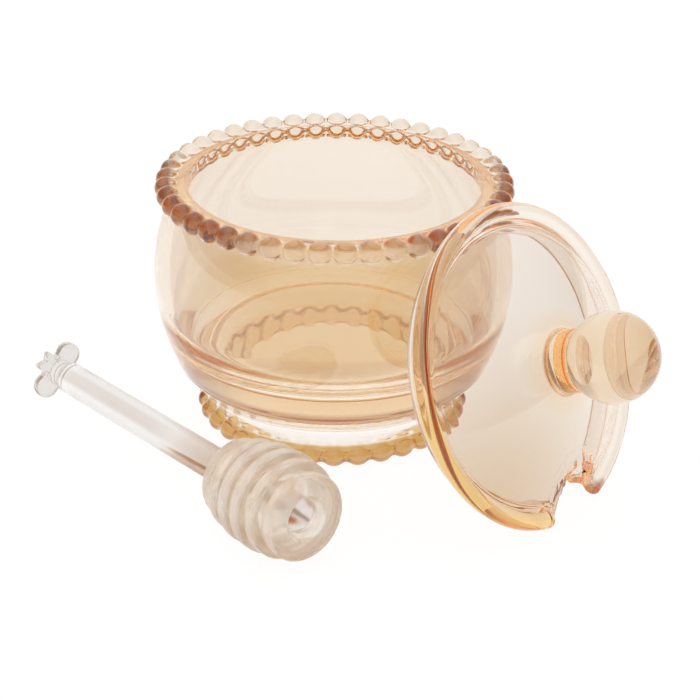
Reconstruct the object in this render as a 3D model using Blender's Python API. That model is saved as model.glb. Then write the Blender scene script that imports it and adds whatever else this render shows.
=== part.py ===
"""Pressed glass honey pot with its lid leaning on the rim and its dipper lying in front.

The pot is one piece of amber glass: a round belly between a beaded rim and a beaded foot.
The lid is a second piece of the same glass, with a ball knob and a notch for the dipper.
The dipper is a clear rod that ends in a bee, pushed into a ribbed milky head.
All sizes are in metres and +Z is up. The table is the plane Z = 0.
"""

import math

import bmesh
import bpy
from mathutils import Matrix, Vector

MM = 0.001

# Pot: heights above the table and radii from the pot's axis
RIM_HEIGHT = 75.8 * MM
RIM_RING_RADIUS = 51.4 * MM
RIM_BEAD_RADIUS = 3.6 * MM
RIM_BEAD_NECK = 1.6 * MM
RIM_BEAD_COUNT = 45
RIM_TURN = math.radians(-0.45)
RIM_UNDERCUT = 2.2 * MM
LEDGE_RISE = 1.5 * MM
LEDGE_WIDTH = 2.9 * MM
MOUTH_EDGE = 0.8 * MM
NECK_DROP = 3.0 * MM
NECK_INSET = 1.5 * MM
BELLY_HEIGHT = 47.3 * MM
BELLY_RADIUS = 55.9 * MM
HEEL_HEIGHT = 19.4 * MM
HEEL_RADIUS = 49.4 * MM
WALL = 4.5 * MM
FLOOR_HEIGHT = 25.3 * MM
FLOOR_CORNER = 8.0 * MM
BASE_THICKNESS = 7.0 * MM
UNDERSIDE_CORNER = 1.5 * MM

# Foot of the pot
FOOT_RING_RADIUS = 40.0 * MM
FOOT_BEAD_RADIUS = 3.2 * MM
FOOT_BEAD_NECK = 1.9 * MM
FOOT_BEAD_COUNT = 34
FOOT_TURN = math.radians(0.86)
FOOT_FLAT = 0.35 * MM
SKIRT_HOLLOW = 0.6 * MM
SKIRT_LIP = 3.2 * MM
SKIRT_DRAFT = 1.5 * MM
SKIRT_END_RISE = 1.0 * MM

# Lid: heights above the middle plane of its flange
FLANGE_HALF = 2.65 * MM
FLANGE_CLEARANCE = 0.2 * MM
GROOVE_INSET = 4.5 * MM
GROOVE_HEIGHT = 0.55 * MM
DOME_INSET = 6.1 * MM
DOME_FOOT_HEIGHT = 2.5 * MM
DOME_RADIUS = 76.0 * MM
DOME_THICKNESS = 3.6 * MM
LOCATING_CLEARANCE = 1.7 * MM
LOCATING_WIDTH = 3.7 * MM
LOCATING_DEPTH = 7.6 * MM
LOCATING_CORNER = 1.4 * MM
KNOB_RADIUS = 12.7 * MM
KNOB_HEIGHT = 32.7 * MM
KNOB_NECK_RADIUS = 9.6 * MM
KNOB_FILLET = 12.5 * MM

# Notch that the dipper's rod passes through when the lid is on
NOTCH_HALF_WIDTH = 10.4 * MM
NOTCH_DEPTH = 17.3 * MM
NOTCH_TURN = math.radians(1.0)

# How the lid leans: away from level, and round the pot from +X
LID_TILT = math.radians(66.2)
LID_AZIMUTH = math.radians(-40.0)
LID_SIDESTEP = -6.3 * MM

# Dipper: distances along its axis from the front of the ribbed head
HEAD_DISC_COUNT = 6
HEAD_PITCH = 5.95 * MM
HEAD_DISC_THICKNESS = 4.1 * MM
HEAD_RADIUS = 15.4 * MM
HEAD_WIDEST = 15.9 * MM
HEAD_BARREL_RADIUS = 38.0 * MM
HEAD_CORE_RADIUS = 10.4 * MM
HEAD_DISC_ROUND = 1.1 * MM
FRONT_HOLE_RADIUS = 6.2 * MM
FRONT_HOLE_DEPTH = 3.0 * MM
ROD_RADIUS = 5.0 * MM
ROD_START = 1.6 * MM
ROD_NOSE = 2.0 * MM
DIPPER_LENGTH = 132.7 * MM
FIT_GAP = 0.3 * MM

# Bee at the rod's end, seen along the rod
BEE_THICKNESS = 3.0 * MM
BEE_REACH = 10.0 * MM
BEE_TURN = math.radians(43.5)
BOSS_RADIUS = 4.4 * MM
BOSS_LENGTH = 2.0 * MM
COLLAR_RADIUS = 4.0 * MM
COLLAR_LENGTH = 2.2 * MM
COLLAR_GROOVE = 0.7 * MM

# How the dipper lies: where the head's front is, and where the rod points
DIPPER_PLACE_X = -6.6 * MM
DIPPER_PLACE_Y = -97.8 * MM
DIPPER_AZIMUTH = math.radians(128.8)

# Cutters run past what they cut by this much
OVERRUN = 5.0 * MM
TINY = 0.001 * MM

# The report rounds to this many decimals
DECIMALS = 2

# How finely round shapes are divided
POT_SEGMENTS = 48
LID_SEGMENTS = 48
HEAD_SEGMENTS = 24
ROD_SEGMENTS = 16
BEAD_SIDES = 8
BELLY_STEPS = 3
INNER_WALL_STEPS = 4
SKIRT_STEPS = 3
CORNER_STEPS = 3
KNOB_STEPS = 8
FLARE_STEPS = 4
DOME_STEPS = 3
FLANGE_STEPS = 6
LOCATING_STEPS = 2
NOTCH_STEPS = 12
LEAN_STEPS = 60
SMOOTH_ANGLE = math.radians(38.0)

# Stations along one bead, from one neck to the next
BEAD_STATION_SHARES = (0.0, 0.25, 0.5, 0.75)

# Half of the bee's outline: turn from its head, and reach from the rod's axis as a share of BEE_REACH
BEE_HALF_SHARES = (
    (0.0, 0.70),
    (0.05, 0.77),
    (0.10, 0.86),
    (0.14, 0.75),
    (0.175, 0.56),
    (0.235, 0.62),
    (0.30, 0.85),
    (0.38, 0.97),
    (0.46, 1.00),
    (0.545, 0.95),
    (0.625, 0.79),
    (0.695, 0.57),
    (0.78, 0.59),
    (0.89, 0.69),
    (1.0, 0.73),
)


def clear_scene():
    """Removes what the scene holds before the model is made."""
    for item in list(bpy.data.objects):
        bpy.data.objects.remove(item, do_unlink=True)


def make_material(name, colour, roughness, transmission, ior):
    """A see-through material of one colour."""
    material = bpy.data.materials.new(name)
    material.use_nodes = True
    shader = material.node_tree.nodes["Principled BSDF"]
    shader.inputs["Base Color"].default_value = (*colour, 1.0)
    shader.inputs["Roughness"].default_value = roughness
    shader.inputs["Metallic"].default_value = 0.0
    shader.inputs["Transmission Weight"].default_value = transmission
    shader.inputs["IOR"].default_value = ior
    material.diffuse_color = (*colour, 1.0)
    return material


def amber_glass():
    """Pale amber pressed glass of the pot and the lid."""
    return make_material("amber_glass", (0.93, 0.76, 0.52), 0.03, 1.0, 1.5)


def clear_plastic():
    """Clear moulded plastic of the dipper's rod."""
    return make_material("clear_plastic", (0.95, 0.94, 0.92), 0.05, 1.0, 1.49)


def milky_plastic():
    """Soft milky plastic of the dipper's head."""
    return make_material("milky_plastic", (0.84, 0.76, 0.66), 0.3, 0.5, 1.45)


def make_empty(name, parent=None):
    """An empty that carries the pieces placed together."""
    empty = bpy.data.objects.new(name, None)
    bpy.context.collection.objects.link(empty)
    empty.parent = parent
    return empty


def make_object(name, mesh_builder, material, parent):
    """Turns a filled bmesh into an object with smooth round faces."""
    bmesh.ops.recalc_face_normals(mesh_builder, faces=mesh_builder.faces)
    mesh = bpy.data.meshes.new(name)
    mesh_builder.to_mesh(mesh)
    mesh_builder.free()
    mesh.shade_smooth()
    mesh.set_sharp_from_angle(angle=SMOOTH_ANGLE)
    if material is not None:
        mesh.materials.append(material)
    item = bpy.data.objects.new(name, mesh)
    bpy.context.collection.objects.link(item)
    item.parent = parent
    return item


def arc(centre, radius, start, end, steps):
    """Points (radius, height) along an arc, from the start angle to the end angle."""
    points = []
    for step in range(steps + 1):
        angle = start + (end - start) * step / steps
        points.append((centre[0] + radius * math.cos(angle), centre[1] + radius * math.sin(angle)))
    return points


def turned(name, outline, segments, material, parent):
    """Turns an outline of (radius, height) points about the local Z axis."""
    builder = bmesh.new()
    verts = [builder.verts.new((max(radius, 0.0), 0.0, height)) for radius, height in outline]
    edges = [builder.edges.new(pair) for pair in zip(verts, verts[1:])]
    if outline[0][0] > TINY:
        edges.append(builder.edges.new((verts[-1], verts[0])))
    bmesh.ops.spin(
        builder,
        geom=verts + edges,
        cent=(0.0, 0.0, 0.0),
        axis=(0.0, 0.0, 1.0),
        angle=math.tau,
        steps=segments,
        use_merge=True,
    )
    bmesh.ops.remove_doubles(builder, verts=builder.verts, dist=TINY)
    return make_object(name, builder, material, parent)


def prism(name, outline, bottom, top, parent, material=None):
    """Extrudes an outline of (x, y) points from the bottom height to the top height."""
    builder = bmesh.new()
    verts = [builder.verts.new((x, y, bottom)) for x, y in outline]
    face = builder.faces.new(verts)
    raised = bmesh.ops.extrude_face_region(builder, geom=[face])["geom"]
    moved = [item for item in raised if isinstance(item, bmesh.types.BMVert)]
    bmesh.ops.translate(builder, verts=moved, vec=(0.0, 0.0, top - bottom))
    return make_object(name, builder, material, parent)


def as_cutter(item):
    """Keeps an object that only shapes another one out of the finished model."""
    item.hide_render = True
    item.display_type = "WIRE"
    return item


def combine(item, other, operation):
    """Joins the other object to the item, or cuts it away."""
    modifier = item.modifiers.new(other.name, "BOOLEAN")
    modifier.operation = operation
    modifier.solver = "EXACT"
    modifier.object = as_cutter(other)


def bead_ring(name, ring_radius, bead_radius, neck, count, turn, height, parent):
    """A closed string of touching beads on a level circle, its first bead at +Y."""
    builder = bmesh.new()
    pitch = math.tau / count
    rings = []
    for bead in range(count):
        for share in BEAD_STATION_SHARES:
            angle = turn + math.pi / 2 + (bead + share - 0.5) * pitch
            offset = 2 * share - 1
            tube = max(bead_radius * math.sqrt(1 - offset**2), neck)
            ring = []
            for side in range(BEAD_SIDES):
                around = math.tau * side / BEAD_SIDES
                out = ring_radius + tube * math.cos(around)
                up = height + tube * math.sin(around)
                ring.append(builder.verts.new((out * math.cos(angle), out * math.sin(angle), up)))
            rings.append(ring)
    for here, after in zip(rings, rings[1:] + rings[:1]):
        for side in range(BEAD_SIDES):
            across = (side + 1) % BEAD_SIDES
            builder.faces.new((here[side], here[across], after[across], after[side]))
    return make_object(name, builder, None, parent)


def mouth_radius():
    """Radius of the mouth, inside the ledge that the beads stand round."""
    return RIM_RING_RADIUS - RIM_BEAD_RADIUS - LEDGE_WIDTH


def neck_height():
    """Height of the narrowest circle, just under the rim's beads."""
    return RIM_HEIGHT - NECK_DROP


def drawn_in(height, end_height, end_radius):
    """Radius at a height on the curve that is upright at the belly's widest circle."""
    share = (height - BELLY_HEIGHT) / (end_height - BELLY_HEIGHT)
    return BELLY_RADIUS - (BELLY_RADIUS - end_radius) * share**2


def belly_radius(height):
    """Outer radius of the pot's belly at a height."""
    if height > BELLY_HEIGHT:
        return drawn_in(height, neck_height(), RIM_RING_RADIUS - NECK_INSET)
    return drawn_in(height, HEEL_HEIGHT, HEEL_RADIUS)


def spread(start, end, steps):
    """Evenly spaced values from the start to the end."""
    return [start + (end - start) * step / steps for step in range(steps + 1)]


def pot_inside():
    """Inner side of the pot, from the middle of its floor up to the mouth."""
    wall_start = FLOOR_HEIGHT + FLOOR_CORNER
    corner = (belly_radius(wall_start) - WALL - FLOOR_CORNER, wall_start)
    points = [(0.0, FLOOR_HEIGHT)]
    points += arc(corner, FLOOR_CORNER, -math.pi / 2, 0.0, CORNER_STEPS)
    for height in spread(wall_start, neck_height(), INNER_WALL_STEPS)[1:]:
        points.append((belly_radius(height) - WALL, height))
    return points


def pot_rim():
    """Mouth edge, the ledge that the lid sits on, and the band behind the beads."""
    ledge = RIM_HEIGHT + LEDGE_RISE
    return [
        (mouth_radius(), ledge - MOUTH_EDGE),
        (mouth_radius() + MOUTH_EDGE, ledge),
        (RIM_RING_RADIUS, ledge),
        (RIM_RING_RADIUS, RIM_HEIGHT - RIM_UNDERCUT),
    ]


def foot_height():
    """Height of the foot beads' centres, with their flats on the table."""
    return FOOT_BEAD_RADIUS - FOOT_FLAT


def pot_skirt():
    """Hollow curve from the heel in to the foot, and the foot's plain lip."""
    start = Vector((HEEL_RADIUS, HEEL_HEIGHT))
    end = Vector((FOOT_RING_RADIUS + SKIRT_END_RISE, foot_height() + FOOT_BEAD_RADIUS))
    across = (end - start).normalized()
    inward = Vector((across.y, -across.x))
    points = []
    for share in spread(0.0, 1.0, SKIRT_STEPS)[1:]:
        sag = SKIRT_HOLLOW * math.sin(math.pi * share)
        points.append(tuple(start.lerp(end, share) + inward * sag))
    points.append((FOOT_RING_RADIUS, foot_height() - SKIRT_END_RISE))
    points.append((FOOT_RING_RADIUS - SKIRT_LIP, foot_height() - SKIRT_END_RISE))
    return points


def pot_underside():
    """Inside of the skirt and the flat underside of the base."""
    underside = FLOOR_HEIGHT - BASE_THICKNESS
    inner = FOOT_RING_RADIUS - SKIRT_LIP + SKIRT_DRAFT
    return [
        (inner, underside - UNDERSIDE_CORNER),
        (inner - UNDERSIDE_CORNER, underside),
        (0.0, underside),
    ]


def make_pot(parent, material):
    """The pot in one piece, with both bead rings joined on and its foot cut flat."""
    outline = pot_inside() + pot_rim()
    for height in spread(neck_height(), BELLY_HEIGHT, BELLY_STEPS):
        outline.append((belly_radius(height), height))
    for height in spread(BELLY_HEIGHT, HEEL_HEIGHT, BELLY_STEPS)[1:]:
        outline.append((belly_radius(height), height))
    outline += pot_skirt() + pot_underside()
    pot = turned("honey_pot", outline, POT_SEGMENTS, material, parent)
    rim = bead_ring(
        "rim_beads",
        RIM_RING_RADIUS,
        RIM_BEAD_RADIUS,
        RIM_BEAD_NECK,
        RIM_BEAD_COUNT,
        RIM_TURN,
        RIM_HEIGHT,
        parent,
    )
    foot = bead_ring(
        "foot_beads",
        FOOT_RING_RADIUS,
        FOOT_BEAD_RADIUS,
        FOOT_BEAD_NECK,
        FOOT_BEAD_COUNT,
        FOOT_TURN,
        foot_height(),
        parent,
    )
    combine(pot, rim, "UNION")
    combine(pot, foot, "UNION")
    reach = FOOT_RING_RADIUS + FOOT_BEAD_RADIUS + OVERRUN
    corners = [(-reach, -reach), (reach, -reach), (reach, reach), (-reach, reach)]
    combine(pot, prism("table_cut", corners, -OVERRUN, 0.0, parent), "DIFFERENCE")
    return pot


def lid_radius():
    """Outer radius of the lid, just inside the rim's beads."""
    return RIM_RING_RADIUS - RIM_BEAD_RADIUS - FLANGE_CLEARANCE


def lid_knob(dome_centre):
    """Ball, neck and flare of the knob, from the top of the ball down to the dome."""
    join = -math.acos(KNOB_NECK_RADIUS / KNOB_RADIUS)
    join_height = KNOB_HEIGHT + KNOB_RADIUS * math.sin(join)
    across = KNOB_NECK_RADIUS + KNOB_FILLET
    fillet_height = dome_centre + math.sqrt((DOME_RADIUS + KNOB_FILLET) ** 2 - across**2)
    lean = math.asin(across / (DOME_RADIUS + KNOB_FILLET))
    start = math.pi + math.asin(max(fillet_height - join_height, 0.0) / KNOB_FILLET)
    ball = arc((0.0, KNOB_HEIGHT), KNOB_RADIUS, math.pi / 2, join, KNOB_STEPS)
    if fillet_height > join_height:
        ball.pop()
    flare = arc((across, fillet_height), KNOB_FILLET, start, 3 * math.pi / 2 - lean, FLARE_STEPS)
    return [(0.0, KNOB_HEIGHT + KNOB_RADIUS)] + ball[1:] + flare


def locating_ring():
    """Ring under the lid that drops into the mouth, from its outer side to its inner side."""
    outer = mouth_radius() - LOCATING_CLEARANCE - LOCATING_CORNER
    inner = mouth_radius() - LOCATING_CLEARANCE - LOCATING_WIDTH + LOCATING_CORNER
    height = LOCATING_CORNER - LOCATING_DEPTH
    points = arc((outer, height), LOCATING_CORNER, 0.0, -math.pi / 2, LOCATING_STEPS)
    points += arc((inner, height), LOCATING_CORNER, -math.pi / 2, -math.pi, LOCATING_STEPS)
    return points


def lid_outline():
    """Cross-section of the lid, from the top of the ball round to the middle of its underside."""
    outer = lid_radius()
    dome_foot = outer - DOME_INSET
    dome_centre = DOME_FOOT_HEIGHT - math.sqrt(DOME_RADIUS**2 - dome_foot**2)
    points = lid_knob(dome_centre)
    for radius in spread(points[-1][0], dome_foot, DOME_STEPS)[1:]:
        points.append((radius, dome_centre + math.sqrt(DOME_RADIUS**2 - radius**2)))
    points.append((outer - GROOVE_INSET, GROOVE_HEIGHT))
    edge = (outer - FLANGE_HALF, 0.0)
    points += arc(edge, FLANGE_HALF, 3 * math.pi / 4, -math.pi / 2, FLANGE_STEPS)
    points += locating_ring()
    for radius in spread(points[-1][0], 0.0, DOME_STEPS):
        points.append((radius, dome_centre + math.sqrt((DOME_RADIUS - DOME_THICKNESS) ** 2 - radius**2)))
    return points


def notch_outline():
    """U-shaped outline that opens at the lid's edge, on its -Y side."""
    outer = lid_radius()
    centre = outer - NOTCH_DEPTH + NOTCH_HALF_WIDTH
    points = [(-NOTCH_HALF_WIDTH, -outer - OVERRUN)]
    for step in range(NOTCH_STEPS + 1):
        angle = math.pi - math.pi * step / NOTCH_STEPS
        x = NOTCH_HALF_WIDTH * math.cos(angle)
        points.append((x, NOTCH_HALF_WIDTH * math.sin(angle) - centre))
    points.append((NOTCH_HALF_WIDTH, -outer - OVERRUN))
    return points


def make_lid(parent, material):
    """The lid with its knob, and with the dipper's notch cut through its edge."""
    lid = turned("lid", lid_outline(), LID_SEGMENTS, material, parent)
    top = KNOB_HEIGHT + KNOB_RADIUS
    notch = prism("notch_cut", notch_outline(), -LOCATING_DEPTH - OVERRUN, top, parent)
    combine(lid, notch, "DIFFERENCE")
    return lid


def lid_edge_drop():
    """How far the lowest point of the tilted lid's edge lies below its centre."""
    centreline = lid_radius() - FLANGE_HALF
    corner = math.asin(NOTCH_HALF_WIDTH / centreline) - abs(NOTCH_TURN)
    fall = math.sin(LID_TILT) * math.cos(corner)
    return centreline * fall + FLANGE_HALF * math.hypot(fall, math.cos(LID_TILT))


def distance_to_path(point, path):
    """Distance from a point to the nearest stretch of an outline, both as (radius, height)."""
    nearest = math.inf
    for start, end in zip(path, path[1:]):
        run = end[0] - start[0]
        rise = end[1] - start[1]
        share = ((point[0] - start[0]) * run + (point[1] - start[1]) * rise) / (run**2 + rise**2)
        share = min(max(share, 0.0), 1.0)
        across = point[0] - start[0] - share * run
        above = point[1] - start[1] - share * rise
        nearest = min(nearest, math.hypot(across, above))
    return nearest


def lean_against(outward):
    """Balls that stand for the pot where the lid leans on it: its rim beads and its belly."""
    balls = []
    for bead in range(RIM_BEAD_COUNT):
        angle = RIM_TURN + math.pi / 2 + math.tau * bead / RIM_BEAD_COUNT
        around = Vector((math.cos(angle), math.sin(angle), 0.0))
        if around.dot(outward) > 0.0:
            up = Vector((0.0, 0.0, RIM_HEIGHT))
            balls.append((around * RIM_RING_RADIUS + up, RIM_BEAD_RADIUS))
            for height in spread(HEEL_HEIGHT, neck_height(), 2 * BELLY_STEPS):
                balls.append((around * belly_radius(height) + Vector((0.0, 0.0, height)), 0.0))
    return balls


def place_lid(place):
    """Leans the lid on the pot, with its edge on the table and a small gap where it leans."""
    outward = Vector((math.cos(LID_AZIMUTH), math.sin(LID_AZIMUTH), 0.0))
    sideways = Vector((-outward.y, outward.x, 0.0))
    up = Vector((0.0, 0.0, 1.0))
    normal = outward * math.sin(LID_TILT) + up * math.cos(LID_TILT)
    downhill = outward * math.cos(LID_TILT) - up * math.sin(LID_TILT)
    notch = downhill * math.cos(NOTCH_TURN) + normal.cross(downhill) * math.sin(NOTCH_TURN)
    path = lid_outline()
    balls = lean_against(outward)
    centre = sideways * LID_SIDESTEP + up * lid_edge_drop()
    centre += outward * (BELLY_RADIUS + RIM_RING_RADIUS + 2 * lid_radius())
    for _ in range(LEAN_STEPS):
        gap = math.inf
        for ball, radius in balls:
            height = (ball - centre).dot(normal)
            from_axis = (ball - centre - normal * height).length
            gap = min(gap, distance_to_path((from_axis, height), path) - radius)
        centre -= outward * (gap - FIT_GAP)
    turn = Matrix((notch.cross(normal) * -1, -notch, normal)).transposed()
    place.matrix_local = Matrix.Translation(centre) @ turn.to_4x4()


def head_disc_radius(along):
    """Outer radius of the barrel-shaped head at a distance from its front."""
    return HEAD_RADIUS - (along - HEAD_WIDEST) ** 2 / (2 * HEAD_BARREL_RADIUS)


def head_length():
    """Length of the ribbed head over its first and last discs."""
    return (HEAD_DISC_COUNT - 1) * HEAD_PITCH + HEAD_DISC_THICKNESS


def make_head(parent, material):
    """Ribbed head: round-edged discs on a core, bored for the rod and opened at the front."""
    bore = ROD_RADIUS + FIT_GAP
    outline = [(FRONT_HOLE_RADIUS, 0.0)]
    for disc in range(HEAD_DISC_COUNT):
        front = disc * HEAD_PITCH
        back = front + HEAD_DISC_THICKNESS
        edge = head_disc_radius((front + back) / 2)
        if disc:
            outline.append((HEAD_CORE_RADIUS, front))
        outline.append((edge - HEAD_DISC_ROUND, front))
        outline.append((edge, front + HEAD_DISC_ROUND))
        outline.append((edge, back - HEAD_DISC_ROUND))
        outline.append((edge - HEAD_DISC_ROUND, back))
        if disc < HEAD_DISC_COUNT - 1:
            outline.append((HEAD_CORE_RADIUS, back))
    outline += [(bore, head_length()), (bore, FRONT_HOLE_DEPTH), (FRONT_HOLE_RADIUS, FRONT_HOLE_DEPTH)]
    return turned("dipper_head", outline[::-1], HEAD_SEGMENTS, material, parent)


def rod_outline():
    """Cross-section of the rod, from its round nose to the boss behind the bee."""
    bee_face = DIPPER_LENGTH - BEE_THICKNESS
    boss_start = bee_face - BOSS_LENGTH
    collar_start = boss_start - COLLAR_LENGTH
    inner_nose = ROD_RADIUS - ROD_NOSE
    points = [(0.0, ROD_START)]
    points += arc((inner_nose, ROD_START + ROD_NOSE), ROD_NOSE, -math.pi / 2, 0.0, CORNER_STEPS)
    points += [
        (ROD_RADIUS, collar_start - COLLAR_GROOVE),
        (ROD_RADIUS - COLLAR_GROOVE, collar_start),
        (COLLAR_RADIUS, collar_start + COLLAR_GROOVE),
        (COLLAR_RADIUS, boss_start),
        (BOSS_RADIUS, boss_start + COLLAR_GROOVE),
        (BOSS_RADIUS, bee_face + BEE_THICKNESS / 2),
        (0.0, bee_face + BEE_THICKNESS / 2),
    ]
    return points


def smooth_between(before, here, after, beyond, share):
    """Value of the smooth curve through four neighbouring points, between the middle two."""
    slope = (after - before) / 2
    next_slope = (beyond - here) / 2
    rise = after - here
    bend = 3 * rise - 2 * slope - next_slope
    twist = slope + next_slope - 2 * rise
    return here + share * (slope + share * (bend + share * twist))


def bee_outline():
    """Outline of the bee, its head at +Y, as a smooth closed curve through the shares."""
    half = [(math.pi * turn, BEE_REACH * reach) for turn, reach in BEE_HALF_SHARES]
    knots = half + [(math.tau - turn, reach) for turn, reach in half[-2:0:-1]]
    points = []
    for index, (turn, reach) in enumerate(knots):
        after = knots[(index + 1) % len(knots)]
        middle_turn = (turn + (after[0] or math.tau)) / 2
        before = knots[index - 1][1]
        beyond = knots[(index + 2) % len(knots)][1]
        middle = smooth_between(before, reach, after[1], beyond, 0.5)
        points.append((reach * math.sin(turn), reach * math.cos(turn)))
        points.append((middle * math.sin(middle_turn), middle * math.cos(middle_turn)))
    return points


def bee_points():
    """The bee's outline as it is turned on the rod."""
    cos, sin = math.cos(BEE_TURN), math.sin(BEE_TURN)
    return [(x * cos + y * sin, y * cos - x * sin) for x, y in bee_outline()]


def bee_drop():
    """How far the rod's end reaches below its axis, at the bee's lower edge or the boss."""
    return max(BOSS_RADIUS, -min(y for _, y in bee_points()))


def make_handle(parent, material):
    """Clear rod and the bee at its end, moulded in one piece."""
    handle = turned("dipper_handle", rod_outline(), ROD_SEGMENTS, material, parent)
    bee = prism("bee_plate", bee_points(), DIPPER_LENGTH - BEE_THICKNESS, DIPPER_LENGTH, parent)
    combine(handle, bee, "UNION")
    return handle


def place_dipper(place):
    """Lays the dipper down on its widest disc and on the bee."""
    run = DIPPER_LENGTH - BEE_THICKNESS / 2 - HEAD_WIDEST
    slope = math.atan((HEAD_RADIUS - bee_drop()) / run)
    level = Vector((math.cos(DIPPER_AZIMUTH), math.sin(DIPPER_AZIMUTH), 0.0))
    along = level * math.cos(slope) - Vector((0.0, 0.0, math.sin(slope)))
    sideways = Vector((-level.y, level.x, 0.0))
    turn = Matrix((sideways, along.cross(sideways), along)).transposed()
    height = HEAD_RADIUS * math.cos(slope) + HEAD_WIDEST * math.sin(slope)
    front = Vector((DIPPER_PLACE_X, DIPPER_PLACE_Y, height))
    place.matrix_local = Matrix.Translation(front) @ turn.to_4x4()


def corner_points(pieces):
    """World places of every corner of the finished pieces."""
    bpy.context.view_layer.update()
    graph = bpy.context.evaluated_depsgraph_get()
    points = []
    for piece in pieces:
        finished = piece.evaluated_get(graph)
        points += [finished.matrix_world @ vertex.co for vertex in finished.data.vertices]
    return points


def stand_on_table(place, pieces):
    """Raises or lowers a placed group until its lowest corner is on the table."""
    lowest = min(point.z for point in corner_points(pieces))
    place.location.z -= lowest


def centre_footprint(root, pieces):
    """Moves the whole arrangement so that its box stands on the origin."""
    points = corner_points(pieces)
    low = [min(point[axis] for point in points) for axis in range(3)]
    high = [max(point[axis] for point in points) for axis in range(3)]
    root.location = (-(low[0] + high[0]) / 2, -(low[1] + high[1]) / 2, -low[2])


def report(*pieces):
    """Prints each piece's own origin and box, in millimetres."""
    for piece in pieces:
        points = corner_points([piece])
        low = [round(min(point[axis] for point in points) / MM, DECIMALS) for axis in range(3)]
        high = [round(max(point[axis] for point in points) / MM, DECIMALS) for axis in range(3)]
        spot = [round(value / MM, DECIMALS) for value in piece.matrix_world.translation]
        print(piece.name, "origin", spot, "low", low, "high", high)


def main():
    """Makes the pot, the lid and the dipper, and sets them down as they are used."""
    clear_scene()
    glass = amber_glass()
    root = make_empty("arrangement")
    lid_place = make_empty("lid_place", root)
    dipper_place = make_empty("dipper_place", root)
    pot = make_pot(root, glass)
    lid = make_lid(lid_place, glass)
    handle = make_handle(dipper_place, clear_plastic())
    head = make_head(dipper_place, milky_plastic())
    place_lid(lid_place)
    place_dipper(dipper_place)
    stand_on_table(lid_place, [lid])
    stand_on_table(dipper_place, [handle, head])
    centre_footprint(root, [pot, lid, handle, head])
    report(pot, lid, handle, head)


main()
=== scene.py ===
"""Looks of a pressed glass honey pot, its leaning lid and its dipper.

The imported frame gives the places. Each piece is made again here with finer shapes, dressed in
its finish, and set to ride on its body. Sizes are in metres, +Z is up, the table is Z = 0.
"""

from __future__ import annotations

import logging
import math
from dataclasses import dataclass
from enum import Enum

import bpy
import numpy as np
from mathutils import Matrix, Vector


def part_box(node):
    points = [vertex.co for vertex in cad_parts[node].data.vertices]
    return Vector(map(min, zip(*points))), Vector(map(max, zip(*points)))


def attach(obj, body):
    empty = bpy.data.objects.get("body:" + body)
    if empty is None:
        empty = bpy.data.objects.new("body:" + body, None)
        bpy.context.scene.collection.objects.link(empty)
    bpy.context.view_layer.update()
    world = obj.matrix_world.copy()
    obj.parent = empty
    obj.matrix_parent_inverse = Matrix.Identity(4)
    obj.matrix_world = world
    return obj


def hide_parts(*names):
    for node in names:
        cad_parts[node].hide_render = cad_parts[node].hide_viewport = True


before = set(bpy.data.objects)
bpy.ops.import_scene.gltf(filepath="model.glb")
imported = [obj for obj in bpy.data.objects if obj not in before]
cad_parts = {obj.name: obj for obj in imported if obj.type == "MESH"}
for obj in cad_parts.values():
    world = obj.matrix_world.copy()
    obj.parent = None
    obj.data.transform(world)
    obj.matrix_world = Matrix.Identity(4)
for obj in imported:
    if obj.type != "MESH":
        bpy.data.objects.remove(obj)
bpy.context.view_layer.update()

MM = 0.001
# Edges that bend by more than this stay sharp
CREASE = math.radians(42.0)

Point = tuple[float, float]
Colour = tuple[float, float, float]
Node = bpy.types.Node
Socket = bpy.types.NodeSocket
Item = bpy.types.Object

log = logging.getLogger("honey_pot")


def smooth_max(
    first: np.ndarray | float, second: np.ndarray | float, fillet: float
) -> np.ndarray:
    """Larger of two values, with a soft change from one to the other.

    Args:
        first: One set of values, or one value.
        second: The other set, or one value.
        fillet: How near the two are where the change is soft.

    Returns:
        The larger values, raised a little where the two are close.
    """
    near = np.maximum(fillet - np.abs(first - second), 0.0) / fillet
    return np.maximum(first, second) + near**2 * fillet / 4


def arc(centre: Point, radius: float, start: float, end: float, steps: int) -> list[Point]:
    """Points along an arc.

    Args:
        centre: Middle of the arc, as (radius, height).
        radius: Radius of the arc.
        start: Angle of the first point, in degrees from outward.
        end: Angle of the last point, in degrees.
        steps: Number of stretches between the points.

    Returns:
        Points as (radius, height).
    """
    across, height = centre
    angles = np.radians(np.linspace(start, end, steps + 1))
    return [(across + radius * math.cos(a), height + radius * math.sin(a)) for a in angles]


def stretch(start: Point, end: Point, steps: int) -> list[Point]:
    """Evenly spaced points on a straight line, without its first point.

    Args:
        start: Point before the first one.
        end: Last point.
        steps: Number of points.

    Returns:
        Points as (radius, height).
    """
    shares = np.linspace(0.0, 1.0, steps + 1)[1:]
    (x, y), (end_x, end_y) = start, end
    return [(x + (end_x - x) * s, y + (end_y - y) * s) for s in shares]


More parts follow.
